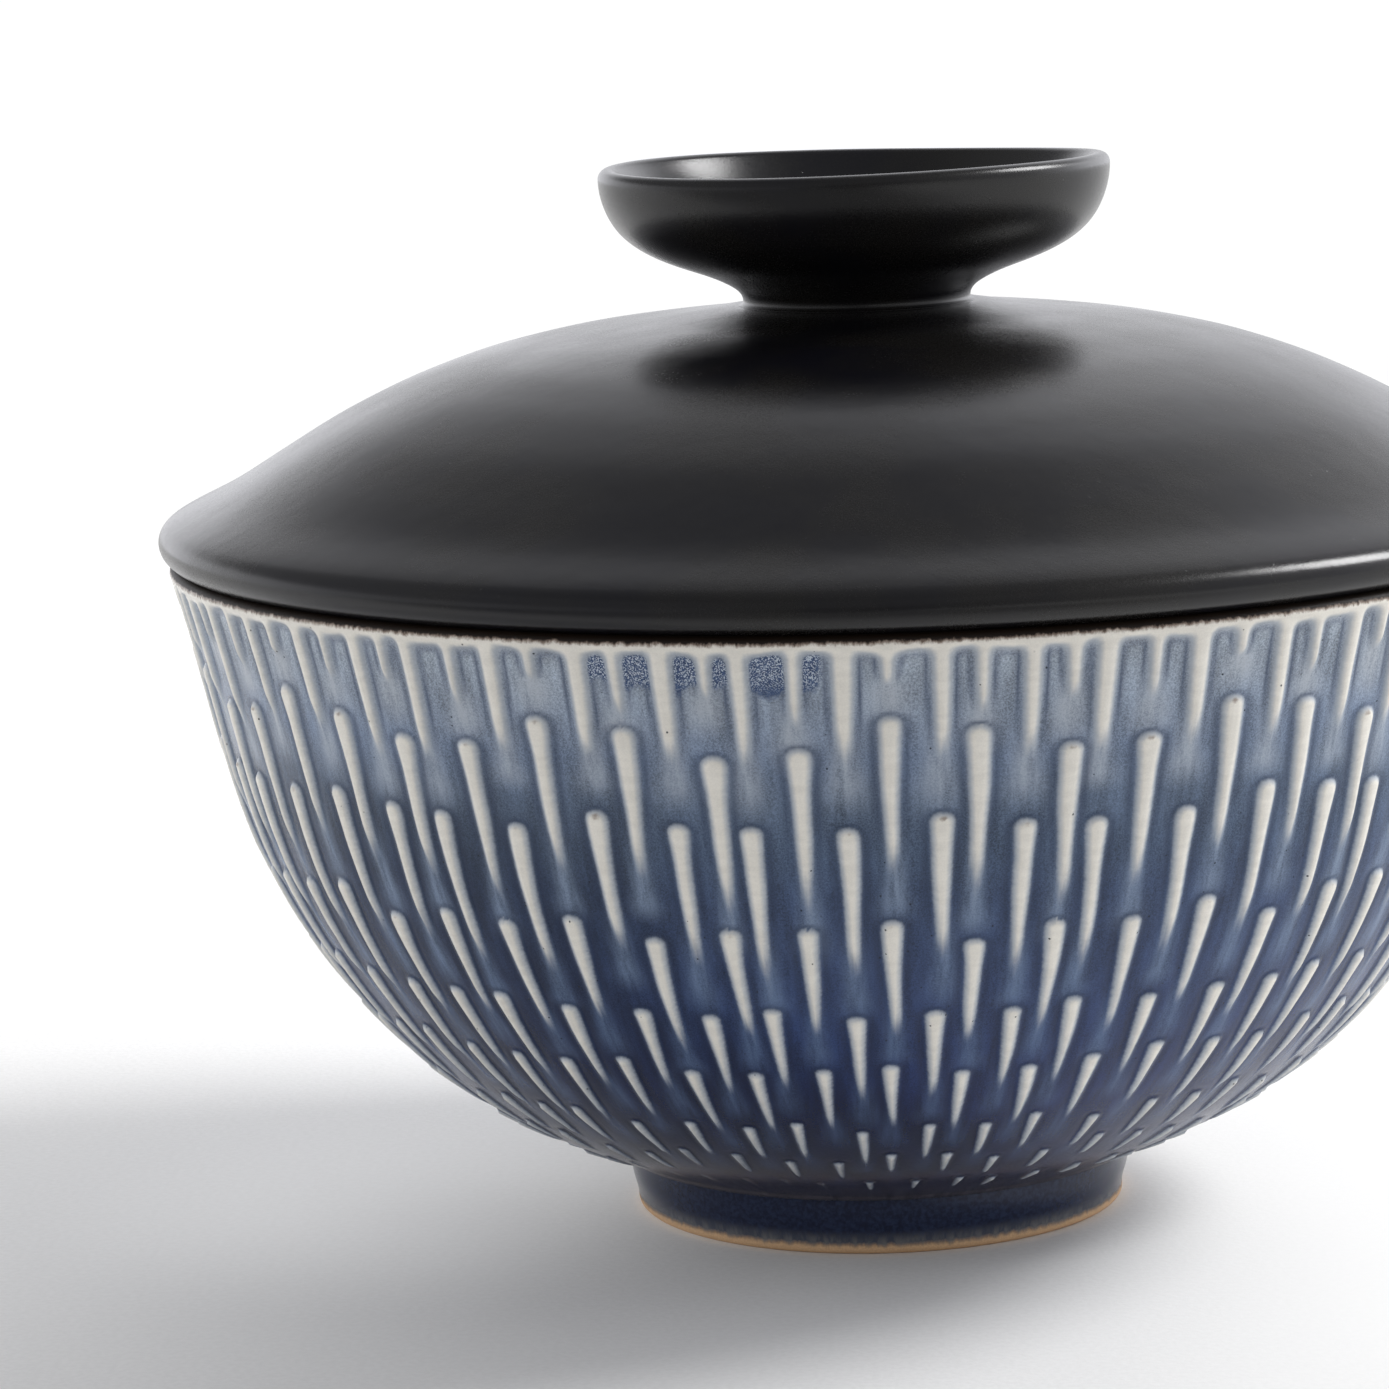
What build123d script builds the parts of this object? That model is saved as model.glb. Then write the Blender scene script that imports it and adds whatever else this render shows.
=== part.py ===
from build123d import *
import math
import os

# A hand-thrown lidded stoneware bowl: a deep open bowl on a foot ring, and a domed
# lid with a locating ring below and a hollow dish-shaped knob on top.
# Millimetres, +Z up. The origin is the centre of the foot ring's resting face.
# Every piece is turned, so each one is a profile of (radius, height) points,
# drawn flat and swept round the Z axis.

# Driving dimensions
foot_height = 9.6  # resting face to the underside of the bowl
foot_radius = 41.5  # where the foot ring meets the bowl
foot_bore = 33.8  # inside of the foot ring, at the bowl
seat_height = 111.0  # plane in which the lid rests on the rim
rim_radius = 113.0  # outside of the bowl at its rim
bowl_wall = 5.0  # bowl's wall, measured square to it
bowl_floor = 5.6  # bowl's floor at the axis
lid_radius = 115.0  # outermost point of the lid's rounded lip
lid_wall = 5.6  # lid's wall, measured square to it
pad_height = 149.0  # flat at the top of the dome, where the knob is luted on
pad_radius = 20.0
seat_inner = 100.0  # where the lid's flat seat starts, and the inside of its locating ring
flange_radius = 104.8  # outside of the locating ring
flange_depth = 8.0  # how far the locating ring reaches below the seat
knob_radius = 41.5  # outside of the knob's rim
knob_top = 172.4  # crest of the knob's rim
knob_neck = 18.5  # the knob at its narrowest, just above the lid
knob_dish_floor = 159.0  # bottom of the hollow in the knob


def turned(*outline):
    """The solid that a closed outline of (radius, height) edges makes round the Z axis."""
    return revolve(Plane.XZ * make_face(Wire(outline)), Axis.Z, 360)


def beside(curve, distance, start, end, count):
    """Points along a stretch of a curve, a distance to its left, or to its right if negative."""
    points = []
    for i in range(count):
        u = start + (end - start) * i / (count - 1)
        along = curve % u
        points.append(curve @ u + Vector(-along.Y, along.X) * distance)
    return points


def rounded(centre, wide, high, start, turn):
    """Part of an ellipse round a centre, from a start angle through a turn, in degrees."""
    return EllipticalCenterArc(centre, wide, high, start_angle=start, arc_size=turn)


def make_bowl():
    """A deep round-bottomed bowl whose wall steepens and then flares a little at the rim."""
    rim_drop, rim_in = 1.4, 2.0
    rim_round = 1.2
    outline = [
        (foot_radius + 1.4, foot_height),
        (63.9, 19.6),
        (78.8, 31.4),
        (91.5, 47.1),
        (101.0, 64.8),
        (106.4, 82.5),
        (109.8, 97.2),
        (rim_radius, seat_height - rim_drop),
    ]
    outer = Spline(*outline)
    floor = foot_height + bowl_floor
    floor_radius = 30.0
    mouth = rim_radius - 4.8
    inner = Spline(
        (mouth, seat_height - rim_round),
        *reversed(beside(outer, bowl_wall, 0.2, 0.93, 7)),
        (floor_radius, floor),
        tangents=[(-0.25, -1), (-1, 0)],
    )
    return turned(
        Line((0, foot_height), outline[0]),
        outer,
        rounded((rim_radius - rim_in, seat_height - rim_drop), rim_in, rim_drop, 0, 90),
        Line((rim_radius - rim_in, seat_height), (mouth + rim_round, seat_height)),
        rounded((mouth + rim_round, seat_height - rim_round), rim_round, rim_round, 90, 90),
        inner,
        Line((floor_radius, floor), (0, floor)),
        Line((0, floor), (0, foot_height)),
    )


def make_foot_ring():
    """The ring the bowl stands on, with a narrow rounded resting face."""
    face_outer, face_inner = foot_radius - 2.4, foot_bore + 2.4
    edge = 1.3
    wall_low, bore_low = foot_radius - 1.1, foot_bore + 0.9
    wall = Spline(
        (wall_low, edge),
        (foot_radius - 0.25, 5.0),
        (foot_radius, foot_height),
        tangents=[(0, 1), (0, 1)],
    )
    return turned(
        Line((face_inner, 0), (face_outer, 0)),
        rounded((face_outer, edge), wall_low - face_outer, edge, 270, 90),
        wall,
        Line((foot_radius, foot_height), (foot_bore, foot_height)),
        Line((foot_bore, foot_height), (bore_low, edge)),
        rounded((face_inner, edge), face_inner - bore_low, edge, 180, 90),
    )


def make_lid():
    """A dome with a thick rounded lip that overhangs the rim, and a flat seat below."""
    lip_wide, lip_high = 5.7, 4.05
    lip_radius, lip_height = lid_radius - lip_wide, 114.57
    join = math.radians(55)
    join_point = (lip_radius + lip_wide * math.cos(join), lip_height + lip_high * math.sin(join))
    seat_angle = math.asin((seat_height - lip_height) / lip_high)
    seat_outer = lip_radius + lip_wide * math.cos(seat_angle)
    dome = Spline(
        (pad_radius, pad_height),
        (32.0, 147.35),
        (46.0, 145.75),
        (60.0, 142.95),
        (74.0, 138.3),
        (87.0, 132.1),
        (97.0, 126.2),
        (105.0, 121.5),
        join_point,
        tangents=[(1, -0.15), (lip_wide * math.sin(join), -lip_high * math.cos(join))],
    )
    lip_turn = math.degrees(seat_angle - join)
    lip = rounded((lip_radius, lip_height), lip_wide, lip_high, math.degrees(join), lip_turn)
    underside = Spline(
        (seat_inner, seat_height),
        *reversed(beside(dome, -lid_wall, 0.08, 0.8, 6)),
        (0, pad_height - lid_wall),
        tangents=[(-0.45, 1), (-1, 0)],
    )
    return turned(
        Line((0, pad_height), (pad_radius, pad_height)),
        dome,
        lip,
        Line((seat_outer, seat_height), (seat_inner, seat_height)),
        underside,
        Line((0, pad_height - lid_wall), (0, pad_height)),
    )


def make_lid_flange():
    """The locating ring under the lid, which drops inside the bowl's mouth."""
    round_top = seat_height - flange_depth + 2
    outer, inner = flange_radius - 0.4, seat_inner + 0.3
    return turned(
        Line((seat_inner, seat_height), (flange_radius, seat_height)),
        Line((flange_radius, seat_height), (outer, round_top)),
        ThreePointArc((outer, round_top), ((outer + inner) / 2, round_top - 2), (inner, round_top)),
        Line((inner, round_top), (seat_inner, seat_height)),
    )


def make_knob():
    """A flared dish on a short neck: the fingers go under its rim."""
    fillet = 0.8
    rim_round = 1.65
    rim_centre = (knob_radius - rim_round, knob_top - rim_round)
    rim_turn = 145
    rim_inside = (
        rim_centre[0] + rim_round * math.cos(math.radians(rim_turn)),
        rim_centre[1] + rim_round * math.sin(math.radians(rim_turn)),
    )
    dish_floor_radius = 18.0
    outer = Spline(
        (knob_neck, pad_height + fillet),
        (21.2, 152.7),
        (27.0, 155.1),
        (34.4, 158.3),
        (38.5, 161.8),
        (40.4, 165.2),
        (41.3, 168.4),
        (knob_radius, rim_centre[1]),
        tangents=[(0, 1), (0, 1)],
    )
    dish = Spline(
        rim_inside,
        (36.4, 168.8),
        (33.4, 165.4),
        (28.6, 161.9),
        (dish_floor_radius, knob_dish_floor),
        tangents=[(-0.574, -0.819), (-1, 0)],
    )
    return turned(
        Line((0, pad_height), (knob_neck + fillet, pad_height)),
        rounded((knob_neck + fillet, pad_height + fillet), fillet, fillet, -90, -90),
        outer,
        rounded(rim_centre, rim_round, rim_round, 0, rim_turn),
        dish,
        Line((dish_floor_radius, knob_dish_floor), (0, knob_dish_floor)),
        Line((0, knob_dish_floor), (0, pad_height)),
    )


PIECES = {
    "bowl": make_bowl,
    "foot_ring": make_foot_ring,
    "lid": make_lid,
    "lid_flange": make_lid_flange,
    "knob": make_knob,
}

os.makedirs("parts", exist_ok=True)
for name, make in PIECES.items():
    export_step(make(), f"parts/{name}.step")
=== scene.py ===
import math

import bpy
import numpy as np
from mathutils import Matrix, Vector


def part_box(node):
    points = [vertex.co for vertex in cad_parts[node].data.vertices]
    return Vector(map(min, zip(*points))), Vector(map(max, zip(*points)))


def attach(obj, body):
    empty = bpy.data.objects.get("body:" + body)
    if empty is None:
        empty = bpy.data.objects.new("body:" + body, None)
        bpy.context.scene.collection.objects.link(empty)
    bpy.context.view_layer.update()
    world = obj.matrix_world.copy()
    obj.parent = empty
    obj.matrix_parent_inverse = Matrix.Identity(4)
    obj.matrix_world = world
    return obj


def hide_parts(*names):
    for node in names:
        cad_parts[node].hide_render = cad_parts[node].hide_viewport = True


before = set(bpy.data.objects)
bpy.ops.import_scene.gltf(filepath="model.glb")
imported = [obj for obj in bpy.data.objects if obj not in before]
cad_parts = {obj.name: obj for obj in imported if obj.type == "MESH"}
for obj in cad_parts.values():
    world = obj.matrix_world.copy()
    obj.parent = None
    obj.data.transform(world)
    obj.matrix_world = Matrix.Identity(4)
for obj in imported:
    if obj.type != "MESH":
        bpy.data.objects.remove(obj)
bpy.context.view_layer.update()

# A hand-thrown lidded stoneware bowl. The bowl's wall carries rows of raised slip dashes under
# a blue glaze that runs pale at the rim and dark at the foot; the lid and its knob are satin black.
# Outlines are (radius, height) points in millimetres; meshes are made in metres.

MM = 0.001
SEED = 11


def top_of(node):
    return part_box(node)[1].z / MM


def radius_of(node):
    low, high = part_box(node)
    return (high.x - low.x) / 2 / MM


# Driving dimensions, read from the frame
FOOT_HEIGHT = top_of("foot_ring")
FOOT_RADIUS = radius_of("foot_ring")
SEAT_HEIGHT = top_of("bowl")
RIM_RADIUS = radius_of("bowl")
LID_RADIUS = radius_of("lid")
PAD_HEIGHT = top_of("lid")
FLANGE_RADIUS = radius_of("lid_flange")
KNOB_RADIUS = radius_of("knob")
KNOB_TOP = top_of("knob")
# Dimensions of hidden or local shapes
BOWL_WALL = 5.0
BOWL_FLOOR = 5.6
RIM_DROP, RIM_IN, RIM_ROUND = 1.4, 2.0, 1.2
MOUTH_IN = 4.8
FOOT_FILLET = 1.4
FOOT_WALL = 7.7
PAD_RADIUS = 20.0
LID_WALL = 5.6
SEAT_INNER = 100.0
# The lid's lip: half of an ellipse, which the dome meets LIP_JOIN degrees above its centre
LIP_WIDE, LIP_HIGH = 5.7, 4.05
LIP_CENTRE = (LID_RADIUS - LIP_WIDE, 114.57)
LIP_JOIN = 55


# ---------------------------------------------------------------- outlines

def smooth(low, high, x):
    t = np.clip((x - low) / (high - low), 0, 1)
    return t * t * (3 - 2 * t)


def spline(points, start=None, end=None, steps=600):
    """A smooth cubic curve through a few points, as closely spaced points along it.
    start and end are directions at its ends, where it has them."""
    p = np.array(points, float)
    h = np.hypot(*np.diff(p, axis=0).T)
    n = len(p)
    a = np.zeros((n, n))
    b = np.zeros((n, 2))
    for i in range(1, n - 1):
        a[i, i - 1 : i + 2] = 1 / h[i - 1], 2 / h[i - 1] + 2 / h[i], 1 / h[i]
        b[i] = 3 * ((p[i] - p[i - 1]) / h[i - 1] ** 2 + (p[i + 1] - p[i]) / h[i] ** 2)
    for i, j, side, given in ((0, 1, 0, start), (n - 1, n - 2, -1, end)):
        if given is None:
            a[i, i], a[i, j] = 2, 1
            b[i] = 3 * (p[j] - p[i]) / h[side] * (1 if side == 0 else -1)
        else:
            a[i, i] = 1
            b[i] = np.array(given, float) / math.hypot(*given)
    m = np.linalg.solve(a, b)
    out = []
    for i in range(n - 1):
        t = np.linspace(0, 1, max(4, int(steps * h[i] / h.sum())), endpoint=False)[:, None]
        out.append(
            (2 * t**3 - 3 * t**2 + 1) * p[i]
            + (t**3 - 2 * t**2 + t) * h[i] * m[i]
            + (3 * t**2 - 2 * t**3) * p[i + 1]
            + (t**3 - t**2) * h[i] * m[i + 1]
        )
    return np.vstack([*out, p[-1:]])


def arc(centre, wide, high, start, end, steps=24):
    """Points on part of an ellipse round a centre, between two angles in degrees."""
    a = np.radians(np.linspace(start, end, steps))
    return np.stack([centre[0] + wide * np.cos(a), centre[1] + high * np.sin(a)], 1)


def line(start, end, steps=12):
    return np.linspace(start, end, steps)


def joined(*stretches):
    """One outline from stretches that meet end to end."""
    return np.vstack([stretches[0], *(s[1:] for s in stretches[1:])])


def along(outline):
    """Distance from the start to each point of an outline."""
    return np.concatenate([[0], np.cumsum(np.hypot(*np.diff(outline, axis=0).T))])


def at(outline, distances):
    """The points at given distances along an outline."""
    s = along(outline)
    return np.stack([np.interp(distances, s, outline[:, k]) for k in (0, 1)], 1)


def evenly(outline, spacing):
    """The outline again, with its points about a spacing apart."""
    length = along(outline)[-1]
    return at(outline, np.linspace(0, length, max(3, round(length / spacing) + 1)))


def left_of(outline):
    """Unit directions to the left of an outline, at each of its points."""
    d = np.gradient(outline, axis=0)
    return np.stack([-d[:, 1], d[:, 0]], 1) / np.maximum(np.hypot(*d.T), 1e-9)[:, None]


def beside(outline, distance):
    """The outline moved a distance to its left, or to its right if negative."""
    return outline + left_of(outline) * distance


def softened(outline, centre, reach, width):
    """The outline with its bends eased over a width. Only the part above the centre changes,
    within reach of a place a little above the centre and inside it."""
    s = along(outline)
    weight = np.exp(-(((s[:, None] - s[None, :]) / width) ** 2)) * np.gradient(s)[None, :]
    eased = weight @ outline / weight.sum(1)[:, None]
    bend = (centre[0] - 3, centre[1] + 5)
    near = 1 - smooth(0.6 * reach, reach, np.hypot(*(outline - bend).T))
    share = near * smooth(centre[1] + 1.5, centre[1] + 5, outline[:, 1])
    return outline + (eased - outline) * share[:, None]


def bowl_outer():
    """The bowl's outer wall, from the foot up to the rim's edge."""
    return spline(
        [
            (FOOT_RADIUS + FOOT_FILLET, FOOT_HEIGHT),
            (63.9, 19.6),
            (78.8, 31.4),
            (91.5, 47.1),
            (101.0, 64.8),
            (106.4, 82.5),
            (109.8, 97.2),
            (RIM_RADIUS, SEAT_HEIGHT - RIM_DROP),
        ],
        steps=2400,
    )


def bowl_inner():
    """The bowl's inner wall, from the mouth down to the floor."""
    mouth = RIM_RADIUS - MOUTH_IN
    floor = FOOT_HEIGHT + BOWL_FLOOR
    wall = beside(bowl_outer(), BOWL_WALL)
    stations = np.linspace(0.93, 0.2, 7) * (len(wall) - 1)
    return joined(
        arc((mouth + RIM_ROUND, SEAT_HEIGHT - RIM_ROUND), RIM_ROUND, RIM_ROUND, 90, 180, 8),
        spline(
            [(mouth, SEAT_HEIGHT - RIM_ROUND), *wall[stations.astype(int)], (30.0, floor)],
            start=(-0.25, -1),
            end=(-1, 0),
        ),
    )


def lid_dome():
    """The top of the lid, from the knob's pad out to the lip."""
    join = math.radians(LIP_JOIN)
    across, up = math.cos(join), math.sin(join)
    return spline(
        [
            (PAD_RADIUS, PAD_HEIGHT),
            (32.0, 147.35),
            (46.0, 145.75),
            (60.0, 142.95),
            (74.0, 138.3),
            (87.0, 132.1),
            (97.0, 126.2),
            (105.0, 121.5),
            (LIP_CENTRE[0] + LIP_WIDE * across, LIP_CENTRE[1] + LIP_HIGH * up),
        ],
        start=(1, -0.15),
        end=(LIP_WIDE * up, -LIP_HIGH * across),
        steps=1600,
    )


# ---------------------------------------------------------------- meshes

class Turned:
    """A mesh swept round the Z axis: rings of points, joined ring to ring.
    A ring of one point closes the mesh on the axis."""

    def __init__(self):
        self.points, self.faces, self.uvs, self.rings = [], [], [], []
        self.count = 0

    def ring(self, points, v):
        """Adds a ring of (x, y, z) points and joins it to the one before."""
        ring = (self.count, len(points), v)
        self.points.append(points)
        self.count += len(points)
        if self.rings:
            self.join(self.rings[-1], ring)
        self.rings.append(ring)

    def join(self, a, b):
        (first_a, n_a, v_a), (first_b, n_b, v_b) = a, b
        few, many = min(n_a, n_b), max(n_a, n_b)
        step = many // few
        for i in range(few if few > 1 else many):
            if few == 1:
                edge_few = [(0, i / many)]
                edge_many = [(i, i / many), ((i + 1) % many, (i + 1) / many)]
            else:
                edge_few = [(i, i / few), ((i + 1) % few, (i + 1) / few)]
                edge_many = [(k % many, k / many) for k in range(i * step, (i + 1) * step + 1)]
            a_edge, b_edge = (edge_few, edge_many) if n_a == few else (edge_many, edge_few)
            loop = [(first_a + k, u, v_a) for k, u in a_edge]
            loop += [(first_b + k, u, v_b) for k, u in reversed(b_edge)]
            self.faces.append([k for k, u, v in loop])
            self.uvs.append([(u, v) for k, u, v in loop])

    def close(self):
        """Joins the last ring to the first, for a mesh that doesn't reach the axis."""
        self.join(self.rings[-1], self.rings[0])

    def make(self, name, attributes=None):
        points = np.vstack(self.points) * MM
        mesh = bpy.data.meshes.new(name)
        mesh.from_pydata(points, [], self.faces)
        layer = mesh.uv_layers.new(name="turned")
        flat = [c for face in self.uvs for uv in face for c in uv]
        layer.data.foreach_set("uv", np.array(flat, np.float32))
        for key, values in (attributes or {}).items():
            field = mesh.attributes.new(key, "FLOAT", "POINT")
            field.data.foreach_set("value", np.asarray(values, np.float32))
        mesh.shade_smooth()
        mesh.update()
        piece = bpy.data.objects.new(name, mesh)
        bpy.context.scene.collection.objects.link(piece)
        return piece


def circle(columns):
    """Azimuths of a ring's points in radians: 0 faces -Y, and the seam is at the back."""
    return np.linspace(-math.pi, math.pi, columns, endpoint=False)


def ring_points(azimuth, radius, height):
    radius = np.broadcast_to(radius, azimuth.shape)
    height = np.broadcast_to(height, azimuth.shape)
    return np.stack([radius * np.sin(azimuth), -radius * np.cos(azimuth), height], 1)


# ---------------------------------------------------------------- slip dashes on the bowl

# The dashes stand in two sets of columns that alternate round the wall. Azimuths are in degrees
# from the front; distances are in millimetres down the wall from the rim's edge.
REPEATS = 13
REPEAT_START = -22.1
LONG_SET = (0.0, 6.8, 12.5, 20.2)
SHORT_SET = (3.0, 9.9, 16.6, 23.6)
# Rim dashes: columns, where they end, half width in degrees
RIM_ROWS = [
    (LONG_SET, (20.5, 22.5, 22.5, 21.0), 0.76),
    (SHORT_SET, (11.5, 10.5, 13.5, 8.0), 0.58),
]
# Hanging dashes: columns, where their heads are, length, half width in degrees
DASH_ROWS = [
    (SHORT_SET, (13.5, 16.9, 16.0, 11.8), 29.0, 0.96),
    (LONG_SET, (26.6, 28.2, 28.8, 29.0), 29.0, 0.91),
    (SHORT_SET, (47.9, 45.9, 45.8, 44.3), 24.5, 0.89),
    (LONG_SET, (61.5, 61.6, 60.8, 62.0), 22.0, 0.86),
    (SHORT_SET, (74.7, 74.9, 74.1, 72.8), 18.5, 0.79),
    (LONG_SET, (88.8, 89.3, 87.9, 90.6), 13.5, 0.66),
    (SHORT_SET, (99.8, 102.1, 102.2, 98.6), 10.5, 0.57),
    (LONG_SET, (113.6, 112.6, 114.6, 113.6), 8.0, 0.50),
]
DASH_RELIEF = 0.78
WALL_INSET = 0.45
RIM_BAND = 1.4
# How far a dash's marks reach to its sides, and the edge distance where no dash is near
DASH_REACH = 7.0
FAR = -6.0
# Cobalt patches under the rim: azimuth and half width in degrees
COBALT_PATCHES = ((-13.0, 9.6), (64.0, 5.0), (118.0, 11.0), (-151.0, 8.0), (-78.0, 4.5))
# Darker blue areas: azimuth and reach in degrees, and how much they turn and widen lower down. The
# area on the front left is painted shade; the two at the back are thicker glaze.
THICK_AND_SHADED_AREAS = ((-43.0, 25.0), (112.0, 30.0), (-158.0, 24.0))
DARK_AREA_DRIFT, DARK_AREA_SPREAD = 22, 16


def soft_max(a, b, width):
    """The larger of two distances, blended where they are nearly equal."""
    h = np.maximum(width - np.abs(a - b), 0) / width
    return np.maximum(a, b) + h * h * width / 4


def bell(x, middle, width):
    return np.exp(-(((x - middle) / width) ** 2))


class Relief:
    """Fields over the wall's grid, made dash by dash.
    edge: signed distance to the nearest dash's edge in millimetres, positive inside it.
    slip: how much slip is left there, from 1 at a head to 0 at a tail's end.
    pool: dark glaze gathered beside the dashes and over their heads.
    haze: pale glaze washed down from the dashes' tails.
    rust: spots of iron on the heads."""

    def __init__(self, azimuth, below, radius, draw):
        self.azimuth = np.degrees(azimuth)
        self.below, self.radius, self.draw = below, radius, draw
        shape = (len(below), len(azimuth))
        self.edge, self.rim = np.full(shape, FAR), np.full(shape, FAR)
        self.slip, self.pool, self.haze, self.rust = (np.zeros(shape) for _ in range(4))

    def window(self, centre, low, high):
        """The part of the grid near a dash: its indices, its radii, and its distances across
        from the dash's middle and down from the rim."""
        rows = np.nonzero((self.below > low) & (self.below < high))[0]
        reach = math.degrees(DASH_REACH / max(self.radius[rows].min(), 1.0))
        turn = (self.azimuth - centre + 180) % 360 - 180
        columns = np.nonzero(np.abs(turn) < reach)[0]
        across = np.radians(turn[columns])[None, :] * self.radius[rows][:, None]
        return np.ix_(rows, columns), self.radius[rows][:, None], across, self.below[rows][:, None]

    def add(self, spot, distance, slip, pool, haze, rust=0.0):
        nearer = distance > self.edge[spot]
        self.slip[spot] = np.where(nearer, slip, self.slip[spot])
        self.edge[spot] = np.maximum(self.edge[spot], distance)
        self.pool[spot] = np.maximum(self.pool[spot], pool)
        self.haze[spot] = np.maximum(self.haze[spot], haze)
        self.rust[spot] = np.maximum(self.rust[spot], rust)

    def washed(self, across, down, length, width):
        """Pale glaze that has run on below a tail."""
        run = self.draw.uniform(4.0, 9.0)
        side = self.draw.uniform(-0.6, 0.6)
        spread = bell(across, side, width * (1 + 0.5 * smooth(0, 1, (down - length) / run + 0.5)))
        fade = 1 - smooth(length, length + run, down)
        return spread * smooth(0.45 * length, 0.95 * length, down) * fade

    def hanging(self, centre, head, length, half_degrees, depth):
        """A dash with a blunt round head, narrowing and fading down to its tail.
        depth goes from 0 in the top row to 1 in the lowest."""
        spot, radius, across, below = self.window(centre, head - 5, head + length + 10)
        down = below - head
        part = np.clip(down / length, 0, 1)
        lean = self.draw.uniform(-0.012, 0.02)
        sway = self.draw.uniform(0.04, 0.12)
        phase = self.draw.uniform(0, 6)
        across = across - lean * down - sway * np.sin(down / 4 + phase)
        stops = (0, 0.07, 0.2, 0.45, 0.65, 0.82, 1)
        upper = np.interp(part, stops, (1, 1, 0.86, 0.72, 0.60, 0.46, 0.16))
        lower = np.interp(part, stops, (1, 0.98, 0.88, 0.66, 0.46, 0.26, 0.05))
        share = smooth(0.15, 0.5, depth)
        half = math.radians(half_degrees) * radius * (upper * (1 - share) + lower * share)
        half = half * (1 + 0.04 * np.sin(down / 2.3 + 2 * phase))
        head_half = half[np.argmin(np.abs(down[:, 0]))].item()
        head_length = 0.85 * head_half
        into_head = np.maximum(head_length - down, 0) / head_length
        blunt = 2.25
        from_middle = (np.abs(across / head_half) ** blunt + into_head**blunt) ** (1 / blunt)
        round_head = head_half * (1 - from_middle)
        distance = np.where(down < head_length, round_head, half - np.abs(across))
        past = down - length
        distance = np.where(past > 0, half - np.hypot(across, past), distance)
        beside_it = bell(distance, -0.90, 0.72) * smooth(-1.5, 1.5, down)
        beside_it = beside_it * (1 - smooth(0.3, 0.95, part))
        over_head = bell(distance, -0.34, 0.42) * (1 - smooth(0.4, 3.2, down))
        pool = np.maximum(0.62 * beside_it, 0.72 * over_head) * (1 - 0.45 * depth)
        haze = self.washed(across, down, length, 1.5) * (1 - 0.7 * depth)
        rust = bell(across, self.draw.uniform(-0.2, 0.2), 0.75) * bell(down, 0.75, 0.45)
        rust = rust * self.draw.uniform(0, 1) * (1 - share)
        # the lowest dashes are worn between the front and the left
        turn = (centre + 180) % 360 - 180
        wear = 0.8 * smooth(0.75, 0.95, depth) * (1 - smooth(-10, 8, turn))
        slip = (1 - wear * smooth(-60, -38, turn)) * (1 - smooth(0.5, 0.97, part))
        self.add(spot, distance, slip, pool, haze, rust)

    def from_rim(self, centre, end, half_degrees):
        """A dash that starts in the rim's band and runs down."""
        spot, radius, across, below = self.window(centre, -20, end + 10)
        part = np.clip(below / end, 0, 1)
        phase = self.draw.uniform(0, 6)
        across = across - 0.08 * np.sin(below / 4 + phase)
        taper = np.interp(part, (0, 0.3, 0.6, 0.85, 1), (1.05, 0.98, 0.86, 0.62, 0.28))
        half = math.radians(half_degrees) * radius * taper
        distance = half - np.abs(across)
        past = below - end
        distance = np.where(past > 0, half - np.hypot(across, past), distance)
        self.rim[spot] = np.maximum(self.rim[spot], distance)
        pool = 0.85 * bell(distance, -0.85, 0.42) * smooth(0.5, 3.0, below)
        pool = pool * (1 - smooth(0.4, 0.95, part))
        haze = self.washed(across, below, end, 2.0)
        self.add(spot, distance, 1 - smooth(0.5, 0.98, part), pool, haze)

    def band(self):
        """The raised band along the rim, which flows into the dashes that start in it."""
        turn = np.radians(self.azimuth)
        wave = 0.25 * np.sin(turn * 31 + 1) + 0.15 * np.sin(turn * 77)
        band = RIM_BAND + wave[None, :] - self.below[:, None]
        whole = soft_max(band, self.rim, 1.6)
        top = self.below[:, None] < 6
        self.slip = np.where(top & (whole > self.edge + 1e-6) & (band > self.rim), 1.0, self.slip)
        self.edge = np.where(top, np.maximum(whole, self.edge), self.edge)
        self.pool = np.maximum(self.pool, 0.5 * bell(whole, -0.7, 0.45) * top)

    def height(self):
        """How far the wall stands out from its mean line, in millimetres."""
        bead = smooth(-0.45, 1.0, self.edge)
        left = 0.12 + 0.88 * smooth(0, 0.85, self.slip)
        groove = bell(self.edge, -0.75, 0.5) * smooth(0.1, 0.8, self.slip)
        return DASH_RELIEF * bead * left - 0.05 * groove - WALL_INSET


def all_dashes(relief, draw):
    for columns, ends, half in RIM_ROWS:
        for repeat in range(REPEATS):
            for turn, end in zip(columns, ends):
                centre = REPEAT_START + turn + 360 / REPEATS * repeat + draw.uniform(-0.12, 0.12)
                relief.from_rim(
                    centre,
                    end + draw.uniform(-1.5, 2.0),
                    half * draw.uniform(0.9, 1.12),
                )
    for number, (columns, heads, length, half) in enumerate(DASH_ROWS):
        for repeat in range(REPEATS):
            for turn, head in zip(columns, heads):
                centre = REPEAT_START + turn + 360 / REPEATS * repeat + draw.uniform(-0.2, 0.2)
                relief.hanging(
                    centre,
                    head + draw.uniform(-0.5, 0.5),
                    length * draw.uniform(0.93, 1.07),
                    half * draw.uniform(0.94, 1.06),
                    number / (len(DASH_ROWS) - 1),
                )
    relief.band()


def cobalt_patches(azimuth, below):
    """Where dark cobalt has gathered under the rim, from 0 to 1."""
    degrees = np.degrees(azimuth)
    amount = np.zeros_like(degrees)
    for centre, half in COBALT_PATCHES:
        turn = np.abs((degrees - centre + 180) % 360 - 180)
        amount = np.maximum(amount, 1 - smooth(half - 0.8, half + 0.8, turn))
    turn = np.radians(degrees)
    depth = 7.0 + 1.0 * np.sin(turn * 41) + 0.7 * np.sin(turn * 97 + 2)
    fall = 1 - smooth(-1.8, 1.8, below[:, None] - depth[None, :])
    return amount[None, :] * fall


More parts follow.
